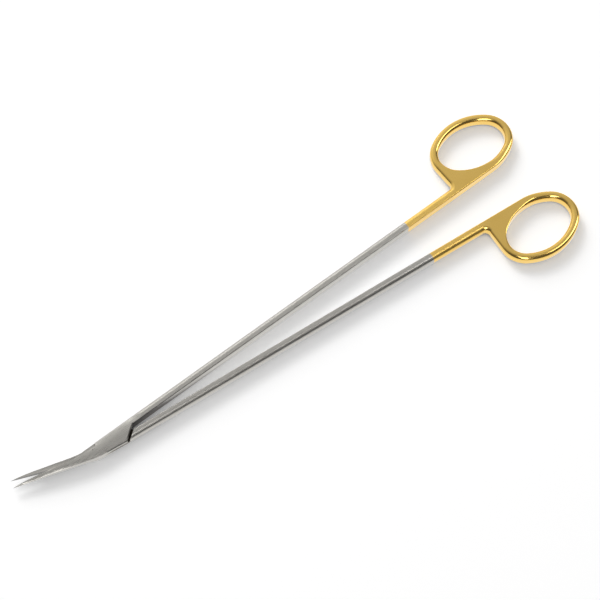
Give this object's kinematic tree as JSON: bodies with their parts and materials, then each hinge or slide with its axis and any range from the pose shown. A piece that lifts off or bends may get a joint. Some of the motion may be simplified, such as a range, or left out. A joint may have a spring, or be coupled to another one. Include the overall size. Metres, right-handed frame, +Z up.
{
  "type": "vascular scissors",
  "caption": "Long slender surgical scissors with short blades angled sideways, crossing at a screwed lap joint, with gilded ring handles.",
  "frame": {"origin": "on the pivot axis, at the table's surface on which the scissors lie", "axes": "+Z up along the pivot axis, +X from the pivot to the finger rings along the middle line between the halves, +Y to the side that the blades bend to"},
  "size_m": [0.2294, 0.0658, 0.0043],
  "materials": {
    "satin_steel": "satin brushed stainless steel, with gold plating over the ring handles",
    "carbide": "fine ground tungsten carbide",
    "screw_steel": "ground flush and satin finished"
  },
  "bodies": {
    "lower_blade": {"lower_half": "satin_steel", "lower_cutting_insert": "carbide"},
    "upper_blade": {"upper_half": "satin_steel", "upper_cutting_insert": "carbide", "joint_screw": "screw_steel"}
  },
  "joints": [
    {"name": "pivot", "type": "hinge", "parent": "lower_blade", "child": "upper_blade", "pos_m": [0, 0, 0.00215], "axis": [0, 0, 1], "range_deg": [-5, 45]}
  ]
}
